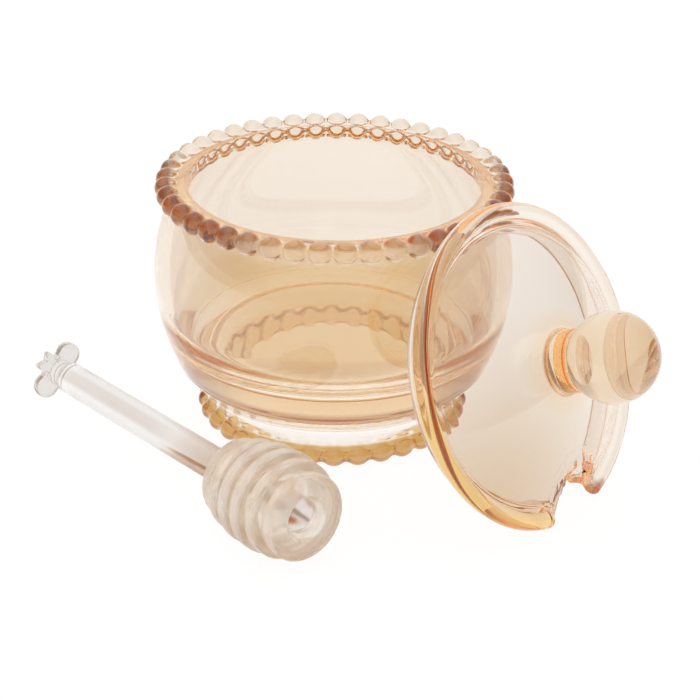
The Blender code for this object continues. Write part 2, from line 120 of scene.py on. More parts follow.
class Skin:
    """Collects rings of points round the Z axis and joins each ring to the one before it."""

    def __init__(self) -> None:
        """Starts with no points."""
        self._points: list[np.ndarray] = []
        self._faces: list[tuple[int, ...]] = []
        self._count = 0
        self._last: tuple[np.ndarray, np.ndarray] | None = None

    def tip(self, height: float) -> None:
        """Adds one point on the axis, and closes the last ring with it.

        Args:
            height: Height of the point.
        """
        self._points.append(np.array([[0.0, 0.0, height]]))
        here = np.array([self._count])
        self._count += 1
        self._join(np.array([0.0]), here)

    def ring(
        self, angles: np.ndarray, radii: np.ndarray | float, heights: np.ndarray | float
    ) -> None:
        """Adds a ring of points.

        Args:
            angles: Rising turns round the axis, less than one full turn.
            radii: Distance of each point from the axis, or one for all.
            heights: Height of each point, or one for all.
        """
        heights = np.broadcast_to(heights, angles.shape)
        points = np.stack([radii * np.cos(angles), radii * np.sin(angles), heights], -1)
        self._points.append(points)
        here = np.arange(self._count, self._count + len(angles))
        self._count += len(angles)
        self._join(angles, here)

    def _join(self, angles: np.ndarray, here: np.ndarray) -> None:
        """Joins a ring to the last one, whatever number of points each has.

        Args:
            angles: Turns of the ring's points.
            here: Numbers of the ring's points.
        """
        if self._last is not None:
            before_angles, before = self._last
            if len(here) == 1 or len(before) == 1:
                tip, loop = (here, before) if len(here) == 1 else (before, here)
                forward = (loop, np.roll(loop, -1)) if len(here) == 1 else (np.roll(loop, -1), loop)
                for one, two in zip(*forward):
                    self._faces.append((int(tip[0]), int(one), int(two)))
            elif len(here) == len(before):
                for a, b, c, d in zip(before, np.roll(before, -1), np.roll(here, -1), here):
                    self._faces.append((int(a), int(b), int(c), int(d)))
            else:
                self._zip(before_angles, before, angles, here)
        self._last = (angles, here)

    def _zip(
        self, low: np.ndarray, low_ids: np.ndarray, high: np.ndarray, high_ids: np.ndarray
    ) -> None:
        """Joins two rings with different numbers of points by a strip of triangles.

        Args:
            low: Turns of the first ring's points.
            low_ids: Numbers of the first ring's points.
            high: Turns of the second ring's points.
            high_ids: Numbers of the second ring's points.
        """
        shift = int(np.argmin(np.abs((high - low[0] + math.pi) % math.tau - math.pi)))
        high, high_ids = np.roll(high, -shift), np.roll(high_ids, -shift)
        low_turn = np.append((low - low[0]) % math.tau, math.tau)
        high_turn = np.append((high - low[0] + math.pi) % math.tau - math.pi, math.tau)
        high_turn[1:-1] %= math.tau
        i = j = 0
        while i < len(low) or j < len(high):
            a, b = int(low_ids[i % len(low)]), int(high_ids[j % len(high)])
            if j == len(high) or (i < len(low) and low_turn[i + 1] <= high_turn[j + 1]):
                i += 1
                self._faces.append((a, int(low_ids[i % len(low)]), b))
            else:
                j += 1
                self._faces.append((a, int(high_ids[j % len(high)]), b))

    def close(self) -> None:
        """Joins the last ring to the first one."""
        angles = np.arctan2(self._points[0][:, 1], self._points[0][:, 0]) % math.tau
        self._join(angles, np.arange(len(angles)))

    def mesh(self, name: str, place: Matrix) -> Item:
        """Makes the object, its points carried into the frame by the place.

        Args:
            name: Name of the object.
            place: Where the piece's own axes are in the frame.

        Returns:
            The linked object, its origin at the frame's origin.
        """
        return new_object(name, np.concatenate(self._points), self._faces, place)


def new_object(name: str, points: np.ndarray, faces: list[tuple[int, ...]], place: Matrix) -> Item:
    """Makes a smooth, closed object whose faces look outwards.

    Args:
        name: Name of the object and of its mesh.
        points: Corners in the piece's own axes, in metres.
        faces: Corner numbers of each face.
        place: Where the piece's own axes are in the frame.

    Returns:
        The linked object, its origin at the frame's origin.
    """
    points = points @ np.array(place.to_3x3()).T + np.array(place.translation)
    mesh = bpy.data.meshes.new(name)
    mesh.from_pydata(points.tolist(), [], faces)
    mesh.validate()
    mesh.calc_loop_triangles()
    corners = np.empty(len(mesh.loop_triangles) * 3, dtype=np.int32)
    mesh.loop_triangles.foreach_get("vertices", corners)
    a, b, c = (points[corners.reshape(-1, 3)[:, k]] for k in range(3))
    if np.einsum("ij,ij->i", a, np.cross(b, c)).sum() < 0.0:
        mesh.flip_normals()
    mesh.shade_smooth()
    mesh.set_sharp_from_angle(angle=CREASE)
    item = bpy.data.objects.new(name, mesh)
    bpy.context.scene.collection.objects.link(item)
    return item


class Nodes:
    """Short way to build the nodes of a material or of the world."""

    def __init__(self, owner: bpy.types.Material | bpy.types.World, output: str) -> None:
        """Clears the owner's nodes and adds its output.

        Args:
            owner: The material or the world.
            output: Kind of its output node.
        """
        owner.use_nodes = True
        self.owner = owner
        self.tree = owner.node_tree
        self.tree.nodes.clear()
        self.output = self.add(output)

    def add(self, kind: str, *sources: Socket | float | Colour, **values: object) -> Node:
        """Adds a node.

        Args:
            kind: Blender's name of the node's type, without its common start.
            *sources: Sockets or plain values for the node's first inputs, in order.
            **values: Settings of the node, or values of its inputs with "_" for a space.

        Returns:
            The new node.
        """
        node = self.tree.nodes.new("ShaderNode" + kind)
        for key, value in values.items():
            label = key.replace("_", " ")
            if label in node.inputs:
                node.inputs[label].default_value = value
            else:
                setattr(node, key, value)
        for source, target in zip(sources, node.inputs):
            if isinstance(source, Socket):
                self.link(source, target)
            else:
                target.default_value = source
        return node

    def link(self, source: Socket, target: Socket) -> None:
        """Joins two sockets."""
        self.tree.links.new(source, target)

    def noise(self, scale: float, detail: float) -> Socket:
        """Noise in the piece's own place.

        Args:
            scale: How fine the noise is, per metre.
            detail: How many finer layers it has.

        Returns:
            The noise's value, from 0 to 1.
        """
        where = self.add("TexCoord").outputs["Object"]
        return self.add("TexNoise", where, Scale=scale, Detail=detail).outputs["Fac"]

    def carry(self, value: Socket, **limits: object) -> Socket:
        """Carries a value from one range onto another, both from 0 to 1 if not given."""
        return self.add("MapRange", value, **limits).outputs["Result"]

    def math(self, operation: str, *values: Socket | float) -> Socket:
        """Reckons with one or two values."""
        return self.add("Math", *values, operation=operation).outputs[0]

    def stain(self, share: Socket, colour: Socket, tint: Colour, how: str = "MULTIPLY") -> Socket:
        """Changes a colour by a tint, as far as the share says.

        Args:
            share: From 0 for the colour as it is to 1 for the full change.
            colour: The colour.
            tint: The tint.
            how: Blender's name of the kind of change, MIX to go over to the tint.

        Returns:
            The new colour.
        """
        node = self.add("Mix", share, data_type="RGBA", blend_type=how)
        node.inputs[7].default_value = (*tint, 1.0)
        self.link(colour, node.inputs[6])
        return node.outputs[2]

    def either(self, share: Socket, first: Node, second: Node) -> Node:
        """Goes over from one shader to another as the share rises from 0 to 1."""
        return self.add("MixShader", share, first.outputs[0], second.outputs[0])


class Measure(Enum):
    """How a place on a piece is read for its tint, from the piece's own axes."""

    ACROSS = "X"
    FORWARD = "Y"
    HEIGHT = "Z"
    RADIUS = "away from the Z axis"
    ASIDE = "X, the same on both sides"


ACROSS, FORWARD, HEIGHT, RADIUS, ASIDE = Measure


@dataclass(frozen=True)
class Patch:
    """A patch of stronger tint; where the comment on a patch says so, its tint is painted shade.

    It fades in between two readings of each measure, in millimetres: none and full.
    """

    tint: Colour
    fades: tuple[tuple[Measure, float, float], ...]


@dataclass(frozen=True)
class ClearFinish:
    """A see-through finish: glass or clear plastic, which tints the light that goes through it.

    Tints are given at readings of the measure in millimetres. The finenesses of the mottle
    and of the gloss are multiples of the waves'.
    """

    name: str
    measure: Measure
    tints: tuple[tuple[float, Colour], ...]
    mottle: Colour
    depth: float
    trapped: Colour
    depth_colour: Colour = (0.94, 0.72, 0.40)
    ior: float = 1.5
    clearness: float = 1.0
    smoothest: float = 0.0
    roughest: float = 0.02
    wave_scale: float = 40.0
    wave_height: float = 0.1 * MM
    shade: Colour = (0.97, 0.93, 0.86)
    patches: tuple[Patch, ...] = ()
    lustre: float = 0.0
    lustre_ior: float = 1.8
    mottle_fineness: float = 0.6
    gloss_fineness: float = 5.0
    most_reflections: float = 2.5

    def material(self, place: Matrix) -> bpy.types.Material:
        """Builds the material.

        Light that is reflected more than a few times inside a piece leaves it with the
        trapped tint, and lamplight goes straight through it with the tint of its shade.

        Args:
            place: The piece's own axes in the frame, from which its tint is measured.

        Returns:
            A material with a mottled tint, soft waves in its surface and depth in its body.
        """
        n = Nodes(bpy.data.materials.new(self.name), "OutputMaterial")
        shader = n.add(
            "BsdfPrincipled",
            IOR=self.ior,
            Transmission_Weight=self.clearness,
            Coat_Weight=self.lustre,
            Coat_IOR=self.lustre_ior,
        )
        spots = n.noise(self.wave_scale * self.mottle_fineness, 2.0)
        tint = n.stain(spots, self._tint(n, place), self.mottle)
        n.link(tint, shader.inputs["Base Color"])
        gloss = n.noise(self.wave_scale * self.gloss_fineness, 3.0)
        gloss = n.carry(gloss, To_Min=self.smoothest, To_Max=self.roughest)
        n.link(gloss, shader.inputs["Roughness"])
        bump = n.add("Bump", Strength=1.0, Distance=self.wave_height)
        n.link(n.noise(self.wave_scale, 1.5), bump.inputs["Height"])
        n.link(bump.outputs["Normal"], shader.inputs["Normal"])
        path = n.add("LightPath").outputs
        trapped = n.math("GREATER_THAN", path["Glossy Depth"], self.most_reflections)
        leaving = n.add("BsdfTransparent", Color=(*self.trapped, 1.0))
        through = n.add("BsdfTransparent", Color=(*self.shade, 1.0))
        surface = n.either(path["Is Shadow Ray"], n.either(trapped, shader, leaving), through)
        body = n.add("VolumeAbsorption", Color=(*self.depth_colour, 1.0), Density=self.depth)
        n.link(surface.outputs[0], n.output.inputs["Surface"])
        n.link(body.outputs[0], n.output.inputs["Volume"])
        return n.owner

    def _tint(self, n: Nodes, place: Matrix) -> Socket:
        """Tint by the place on the piece, with its patches, some of which are painted shade.

        Args:
            n: The material's nodes.
            place: The piece's own axes in the frame.

        Returns:
            The tint's colour.
        """
        back = place.inverted()
        own = n.add(
            "Mapping",
            n.add("TexCoord").outputs["Object"],
            vector_type="POINT",
            Location=tuple(back.translation),
            Rotation=tuple(back.to_euler()),
        )
        readings = self._readings(n, own.outputs[0])
        low, high = self.tints[0][0] * MM, self.tints[-1][0] * MM
        share = n.carry(readings[self.measure], From_Min=low, From_Max=high)
        ramp = n.add("ValToRGB", share)
        elements = ramp.color_ramp.elements
        while len(elements) < len(self.tints):
            elements.new(1.0)
        for element, (spot, tint) in zip(elements, self.tints):
            element.position = (spot * MM - low) / (high - low)
            element.color = (*tint, 1.0)
        colour = ramp.outputs["Color"]
        for patch in self.patches:
            strength = None
            for measure, none, full in patch.fades:
                ends = {"From_Min": none * MM, "From_Max": full * MM}
                fade = n.carry(readings[measure], interpolation_type="SMOOTHSTEP", **ends)
                strength = n.math("MULTIPLY", strength, fade) if strength else fade
            colour = n.stain(strength, colour, patch.tint)
        return colour

    def _readings(self, n: Nodes, own: Socket) -> dict[Measure, Socket]:
        """Reads a place on the piece in each way.

        Args:
            n: The material's nodes.
            own: The place, from the piece's own axes.

        Returns:
            One value for each measure.
        """
        parts = n.add("SeparateXYZ", own).outputs
        flat = n.add("VectorMath", own, (1.0, 1.0, 0.0), operation="MULTIPLY")
        length = n.add("VectorMath", flat.outputs[0], operation="LENGTH")
        return {
            ACROSS: parts["X"],
            FORWARD: parts["Y"],
            HEIGHT: parts["Z"],
            RADIUS: length.outputs["Value"],
            ASIDE: n.math("ABSOLUTE", parts["X"]),
        }


class Finish(Enum):
    """The finishes of the pieces. Each patch is led by the name of its place."""

    POT_GLASS = ClearFinish(
        name="amber_glass_of_the_pot",
        measure=HEIGHT,
        patches=(
            # Front of the belly
            Patch(
                (0.92, 0.77, 0.55),
                ((FORWARD, 10, -35), (ASIDE, 52, 18), (HEIGHT, 28, 42), (HEIGHT, 73, 69)),
            ),
            # Wall of the base
            Patch(
                (0.95, 0.93, 0.89),
                ((RADIUS, 41, 45), (HEIGHT, 17.6, 18.6), (HEIGHT, 34, 28)),
            ),
            # Front of the rim
            Patch((0.95, 0.85, 0.72), ((FORWARD, -30, -46), (HEIGHT, 71, 73.5))),
            # Line along the heel
            Patch(
                (0.46, 0.24, 0.08),
                ((RADIUS, 43, 46), (HEIGHT, 18.4, 19.4), (HEIGHT, 24, 21), (FORWARD, 10, -10)),
            ),
            # Front beads of the foot
            Patch((0.74, 0.53, 0.24), ((HEIGHT, 7.2, 6.2), (FORWARD, 15, -10))),
            # Painted shade: dark brown on the beads at the rim's sides, where the glass shows dark
            # surroundings
            Patch(
                (0.24, 0.055, 0.010),
                ((ASIDE, 13, 33), (FORWARD, 24, 0), (RADIUS, 49.5, 51), (HEIGHT, 73.4, 75.4)),
            ),
            # Beads at the rim's back
            Patch(
                (0.94, 0.91, 0.88),
                ((FORWARD, 15, 35), (RADIUS, 49.5, 51), (HEIGHT, 71, 73.5)),
            ),
            # Painted shade: darker tops of the rim's front beads
            Patch(
                (0.62, 0.34, 0.14),
                ((FORWARD, -15, -35), (RADIUS, 49, 50.2), (HEIGHT, 77, 78.2)),
            ),
        ),
        lustre=0.5,
        tints=(
            (0.0, (0.86, 0.69, 0.46)),
            (6.2, (0.88, 0.72, 0.50)),
            (7.6, (1.0, 1.0, 1.0)),
            (17.6, (1.0, 1.0, 1.0)),
            (18.6, (0.99, 0.95, 0.87)),
            (26.0, (0.99, 0.95, 0.86)),
            (30.0, (0.95, 0.89, 0.79)),
            (40.0, (0.91, 0.84, 0.76)),
            (68.0, (0.91, 0.84, 0.76)),
            (73.0, (0.92, 0.84, 0.74)),
            (80.0, (0.94, 0.87, 0.79)),
        ),
        mottle=(0.98, 0.97, 0.95),
        depth=13.0,
        trapped=(0.84, 0.62, 0.37),
    )
    LID_GLASS = ClearFinish(
        name="amber_glass_of_the_lid",
        measure=RADIUS,
        patches=(
            # Low left side of the dome
            Patch((0.76, 0.62, 0.46), ((ACROSS, 30, -35), (FORWARD, 35, -35), (RADIUS, 45, 42))),
            # Low left side of the flange
            Patch((1.00, 0.66, 0.14), ((RADIUS, 42.5, 46), (ACROSS, 15, -25), (FORWARD, 35, 0))),
            # Corner beside the notch
            Patch(
                (0.45, 0.18, 0.08),
                ((ACROSS, 7.5, 9.5), (ACROSS, 16, 14), (FORWARD, -41, -43)),
            ),
        ),
        lustre=0.25,
        tints=(
            (0.0, (0.97, 0.88, 0.74)),
            (12.0, (0.93, 0.83, 0.70)),
            (16.0, (0.93, 0.88, 0.83)),
            (39.0, (0.93, 0.87, 0.82)),
            (43.0, (0.95, 0.90, 0.84)),
            (48.0, (0.95, 0.89, 0.82)),
        ),
        mottle=(0.985, 0.975, 0.96),
        depth=16.0,
        trapped=(0.98, 0.66, 0.34),
    )
    CLEAR_PLASTIC = ClearFinish(
        name="clear_plastic",
        measure=HEIGHT,
        patches=(
            # Painted shade: a grey streak along one side of the rod
            Patch(
                (0.76, 0.69, 0.63),
                ((FORWARD, 1, 3), (FORWARD, 5.2, 4.5), (HEIGHT, 58, 72), (HEIGHT, 125, 118)),
            ),
        ),
        tints=(
            (0.0, (0.90, 0.85, 0.81)),
            (8.0, (0.98, 0.96, 0.94)),
            (42.0, (0.72, 0.58, 0.48)),
            (55.0, (0.82, 0.73, 0.66)),
            (68.0, (0.98, 0.97, 0.96)),
            (128.0, (0.99, 0.985, 0.98)),
            (130.0, (0.80, 0.77, 0.74)),
            (133.0, (0.80, 0.77, 0.74)),
        ),
        mottle=(0.95, 0.94, 0.93),
        depth_colour=(0.80, 0.74, 0.68),
        depth=5.0,
        ior=1.49,
        smoothest=0.10,
        roughest=0.20,
        wave_scale=70.0,
        shade=(0.95, 0.94, 0.93),
        trapped=(0.93, 0.90, 0.87),
    )
    MILKY_PLASTIC = ClearFinish(
        name="milky_plastic",
        measure=RADIUS,
        # Tan on the ribs' sides and paler at their rims; the paler rims are a painted highlight for
        # the bright lines along the ridges
        tints=(
            (0.0, (1.00, 1.00, 0.99)),
            (7.0, (1.00, 0.98, 0.96)),
            (12.0, (0.94, 0.86, 0.77)),
            (14.4, (0.94, 0.87, 0.79)),
            (16.0, (0.98, 0.96, 0.93)),
        ),
        mottle=(0.97, 0.96, 0.94),
        depth_colour=(0.85, 0.75, 0.65),
        depth=7.0,
        ior=1.45,
        clearness=0.84,
        smoothest=0.20,
        roughest=0.30,
        wave_scale=90.0,
        wave_height=0.2 * MM,
        shade=(0.80, 0.76, 0.70),
        trapped=(0.84, 0.74, 0.65),
    )


@dataclass(frozen=True)
class BeadRing:
    """A closed string of pressed beads on a level circle round the pot's axis."""

    radius: float
    height: float
    bead: float
    neck: float
    count: int
    turn: float
    # Softness of the joint between a bead and its neck
    fillet: float
    per_bead: int = 12

    def azimuths(self) -> np.ndarray:
        """Turns at which the string is drawn, closest together at the necks.

        Returns:
            Rising turns round the axis.
        """
        pitch = math.tau / self.count
        shares = (1.0 - np.cos(np.pi * np.arange(self.per_bead) / self.per_bead)) / 2.0
        start = self.turn + math.pi / 2 - pitch / 2
        turns = start + (np.arange(self.count)[:, None] + shares[None]) * pitch
        return np.sort(turns.ravel() % math.tau)

    def tube(self, azimuths: np.ndarray) -> np.ndarray:
        """Radius of the string at each turn: a bead in the middle, a neck between beads.

        Args:
            azimuths: Turns round the axis.

        Returns:
            The string's radius at each turn.
        """
        pitch = math.tau / self.count
        share = ((azimuths - self.turn - math.pi / 2) / pitch + 0.5) % 1.0
        bead = self.bead * np.sqrt(np.maximum(1.0 - (2.0 * share - 1.0) ** 2, 0.0))
        return smooth_max(bead, self.neck, self.fillet)

    def swell(self, azimuths: np.ndarray, point: Point) -> tuple[np.ndarray, np.ndarray]:
        """Pushes a point of the plain outline out to the beads' surface.

        Args:
            azimuths: Turns at which the point is wanted.
            point: The point as (radius, height).

        Returns:
            Radii and heights of the point at each turn.
        """
        across, above = point[0] - self.radius, point[1] - self.height
        away = math.hypot(across, above)
        reach = smooth_max(away, self.tube(azimuths), self.fillet)
        scale = np.where(away > self.bead + self.fillet, 1.0, reach / away)
        return self.radius + across * scale, self.height + above * scale


@dataclass(frozen=True)
class Pot:
    """The pot: a round belly between a beaded rim and a beaded foot."""

    rim_radius: float = 51.4 * MM
    rim_height: float = 75.8 * MM
    ledge_rise: float = 1.5 * MM
    ledge_inset: float = 0.62 * MM
    mouth_radius: float = 44.9 * MM
    mouth_edge: float = 0.8 * MM
    neck_drop: float = 3.0 * MM
    neck_radius: float = 49.9 * MM
    band_edge: float = 2.2 * MM
    # Rows of the belly that still follow the rim's turns, below the neck in millimetres
    blend_drops: tuple[float, ...] = (0.5, 1.0, 1.5, 2.0, 2.5, 3.0, 3.5)
    belly_start: float = 4.5 * MM
    belly_end: float = 1.0 * MM
    belly_height: float = 47.3 * MM
    belly_radius: float = 55.9 * MM
    heel_height: float = 19.4 * MM
    heel_radius: float = 49.4 * MM
    heel_round: float = 0.7 * MM
    heel_rise: float = 0.25 * MM
    skirt_inset: float = 0.5 * MM
    skirt_drop: float = 0.6 * MM
    wall: float = 4.5 * MM
    floor_height: float = 25.3 * MM
    floor_corner: float = 16.0 * MM
    base: float = 5.0 * MM
    underside_corner: float = 6.0 * MM
    underside_sag: float = 3.0 * MM
    underside_middle: float = 1.0 * MM
    skirt_hollow: float = 0.6 * MM
    skirt_lip: float = 3.2 * MM
    lip_rise: float = 4.0 * MM
    skirt_wall: float = 4.6 * MM
    skirt_end_rise: float = 1.0 * MM
    wall_turns: int = 180

    def rim(self) -> BeadRing:
        """The string of beads round the rim.

        Returns:
            The rim's beads.
        """
        return BeadRing(
            radius=self.rim_radius,
            height=self.rim_height,
            bead=3.6 * MM,
            neck=1.6 * MM,
            count=45,
            turn=math.radians(-0.45),
            fillet=0.35 * MM,
        )

    def foot(self) -> BeadRing:
        """The string of beads round the foot.

        Returns:
            The foot's beads.
        """
        return BeadRing(
            radius=40.0 * MM,
            height=2.85 * MM,
            bead=3.2 * MM,
            neck=1.9 * MM,
            count=34,
            turn=math.radians(0.86),
            fillet=0.45 * MM,
        )

    def belly(self, height: float) -> float:
        """Outer radius of the belly at a height.

        Args:
            height: Height above the table.

        Returns:
            The radius.
        """
        above = height > self.belly_height
        end_height = self.rim_height - self.neck_drop if above else self.heel_height
        end_radius = self.neck_radius if above else self.heel_radius
        share = (height - self.belly_height) / (end_height - self.belly_height)
        return self.belly_radius - (self.belly_radius - end_radius) * share**2

    def inside(self) -> list[Point]:
        """Inner side, from the middle of the floor up to just under the mouth's edge.

        Returns:
            Points as (radius, height).
        """
        start = self.floor_height + self.floor_corner
        corner = (self.belly(start) - self.wall - self.floor_corner, start)
        points = stretch((0.0, self.floor_height), (corner[0], self.floor_height), 9)
        points += arc(corner, self.floor_corner, -90.0, 0.0, 12)[1:]
        for height in np.linspace(start, self.rim_height - self.neck_drop, 24)[1:]:
            points.append((self.belly(height) - self.wall, float(height)))
        return points

    def mouth(self) -> list[Point]:
        """Mouth's edge and the ledge that the lid sits on.

        Returns:
            Points as (radius, height).
        """
        ledge = self.rim_height + self.ledge_rise
        edge = (self.mouth_radius + self.mouth_edge, ledge - self.mouth_edge)
        points = arc(edge, self.mouth_edge, 180.0, 90.0, 4)
        return points + stretch(points[-1], (self.rim_radius - self.ledge_inset, ledge), 12)

    def rim_band(self) -> list[Point]:
        """Neck's circle round the rim beads' centres, and the band under the beads.

        Returns:
            Points as (radius, height).
        """
        rim = self.rim()
        points = arc((rim.radius, rim.height), rim.neck, 104.0, -90.0, 17)
        points += stretch(points[-1], (rim.radius, rim.height - self.band_edge), 2)
        points += stretch(points[-1], (self.neck_radius, self.rim_height - self.neck_drop), 3)
        for drop in self.blend_drops:
            height = self.rim_height - self.neck_drop - drop * MM
            points.append((self.belly(height), height))
        return points

    def outside(self) -> list[Point]:
        """Belly from under the rim down to its rounded heel.

        Returns:
            Points as (radius, height).
        """
        top = self.rim_height - self.neck_drop - self.belly_start
        heights = np.linspace(top, self.heel_height + self.belly_end, 34)
        points = [(self.belly(float(height)), float(height)) for height in heights]
        centre = (self.heel_radius - self.heel_round, self.heel_height + self.heel_rise)
        return points + arc(centre, self.heel_round, 12.0, -55.0, 5)

    def skirt_ends(self) -> tuple[Point, Point]:
        """Upper and lower end of the skirt's outside.

        Returns:
            Both ends as (radius, height).
        """
        foot = self.foot()
        upper = (self.heel_radius - self.skirt_inset, self.heel_height - self.skirt_drop)
        return upper, (foot.radius + self.skirt_end_rise, foot.height + foot.bead)

    def skirt_line(self, height: float) -> float:
        """Radius at a height of the straight line that the skirt's hollow curve keeps near."""
        (end, high), (start, low) = self.skirt_ends()
        return start + (end - start) * (height - low) / (high - low)

    def skirt(self) -> list[Point]:
        """Hollow curve from the heel in to the foot, with the foot's neck circle and plain lip.

        Returns:
            Points as (radius, height).
        """
        foot = self.foot()
        start, end = (Vector(point) for point in self.skirt_ends())
        across = (end - start).normalized()
        inward = Vector((across.y, -across.x))
        points = []
        for share in np.linspace(0.0, 1.0, 15)[1:]:
            spot = start.lerp(end, share) + inward * (self.skirt_hollow * math.sin(math.pi * share))
            points.append((spot.x, spot.y))
        points += arc((foot.radius, foot.height), foot.neck, 66.0, -146.0, 20)
        lip = (foot.radius - self.skirt_lip, foot.height - self.skirt_end_rise)
        points += stretch(points[-1], lip, 3)
        height = lip[1] + self.lip_rise
        return points + stretch(lip, (self.skirt_line(height) - self.skirt_wall, height), 4)

    def underside(self) -> list[Point]:
        """Inside of the skirt and the underside of the base, which hangs down to its middle.

        Returns:
            Points as (radius, height).
        """
        flat = self.floor_height - self.base
        low = flat - self.underside_corner
        inner = self.skirt_line(low) - self.skirt_wall
        wall = stretch(self.skirt()[-1], (inner, low), 6)
        corner = (inner - self.underside_corner, low)
        base = arc(corner, self.underside_corner, 0.0, 90.0, 5)[1:]
        base += stretch(base[-1], (self.underside_middle, flat), 11)
        sag = self.underside_sag
        return wall + [(radius, h - sag * (1.0 - (radius / inner) ** 2)) for radius, h in base]

    def build(self, place: Matrix) -> Item:
        """Makes the pot.

        Args:
            place: The pot's axes in the frame.

        Returns:
            The pot as one closed piece.
        """
        plain = np.arange(self.wall_turns) * math.tau / self.wall_turns
        rim, foot = self.rim(), self.foot()
        skin = Skin()
        skin.tip(self.floor_height)
        for band, turns in (
            (self.inside(), plain),
            (self.mouth() + self.rim_band(), rim.azimuths()),
            (self.outside(), plain),
            (self.skirt(), foot.azimuths()),
            (self.underside(), plain),
        ):
            for point in band:
                string = foot if point[1] < self.heel_height else rim
                radii, heights = string.swell(turns, point)
                skin.ring(turns, radii, np.maximum(heights, 0.0))
        skin.tip(self.floor_height - self.base - self.underside_sag)
        pot = skin.mesh("pot_glass", place)
        pot.data.materials.append(Finish.POT_GLASS.value.material(place))
        return pot


